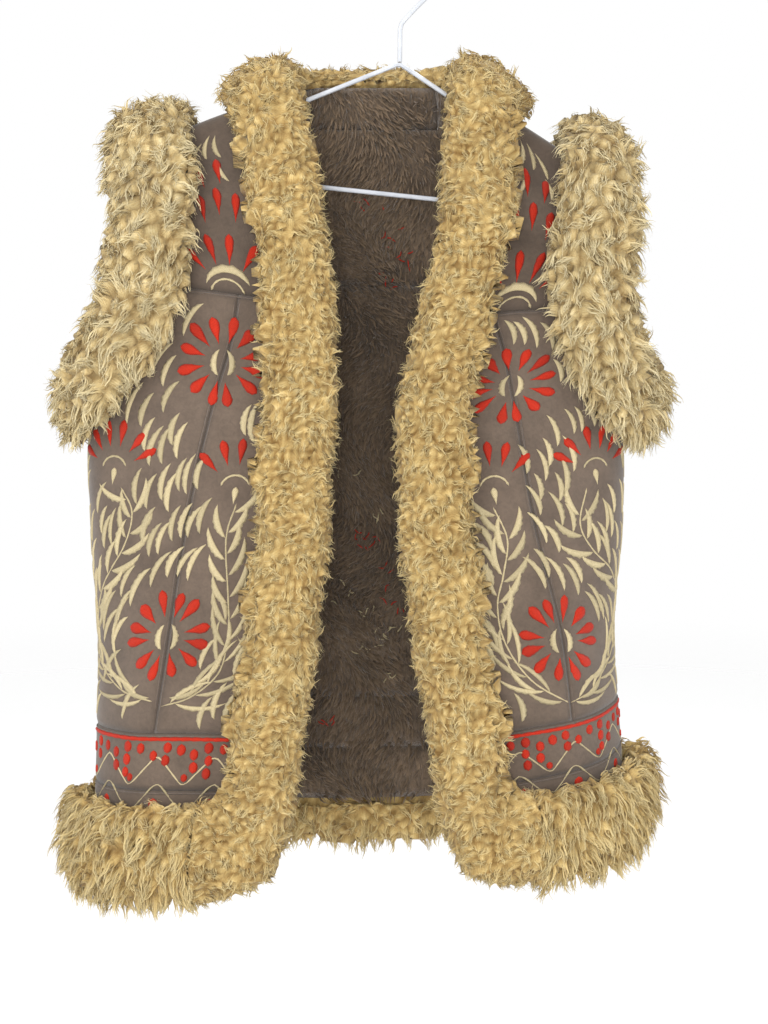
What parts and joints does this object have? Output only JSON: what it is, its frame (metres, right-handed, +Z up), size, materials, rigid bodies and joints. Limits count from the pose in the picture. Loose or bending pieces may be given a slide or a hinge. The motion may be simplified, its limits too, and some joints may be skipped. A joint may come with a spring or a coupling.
{
  "type": "embroidered shearling vest on a wire hanger",
  "caption": "Open sleeveless sheepskin vest, suede outside with long cream wool at its edges, hanging on a plain wire hanger.",
  "frame": {"origin": "where the top of the hanger's hook bears on its rail", "axes": "+Z up, -Y towards the front of the vest, +X towards the vest wearer's left"},
  "size_m": [0.5465, 0.2144, 0.8338],
  "materials": {
    "suede": "brushed taupe-brown suede, dark wool on its inner side",
    "cream_pile": "long, curly cream wool",
    "coated_wire": "white plastic-coated steel wire"
  },
  "bodies": {
    "root": {"front_right_yoke": "suede", "front_right_centre": "suede", "front_right_side": "suede", "front_right_border": "suede", "front_right_hem_band": "suede", "front_left_yoke": "suede", "front_left_centre": "suede", "front_left_side": "suede", "front_left_border": "suede", "front_left_hem_band": "suede", "back_yoke": "suede", "collar_band": "suede", "back_body": "suede", "back_border": "suede", "back_hem_band": "suede", "front_right_pile": "cream_pile", "front_left_pile": "cream_pile", "collar_pile": "cream_pile", "armhole_right_pile": "cream_pile", "armhole_left_pile": "cream_pile", "hem_right_pile": "cream_pile", "hem_left_pile": "cream_pile", "hem_back_pile": "cream_pile", "hanger_frame": "coated_wire", "hanger_hook": "coated_wire"}
  },
  "joints": []
}
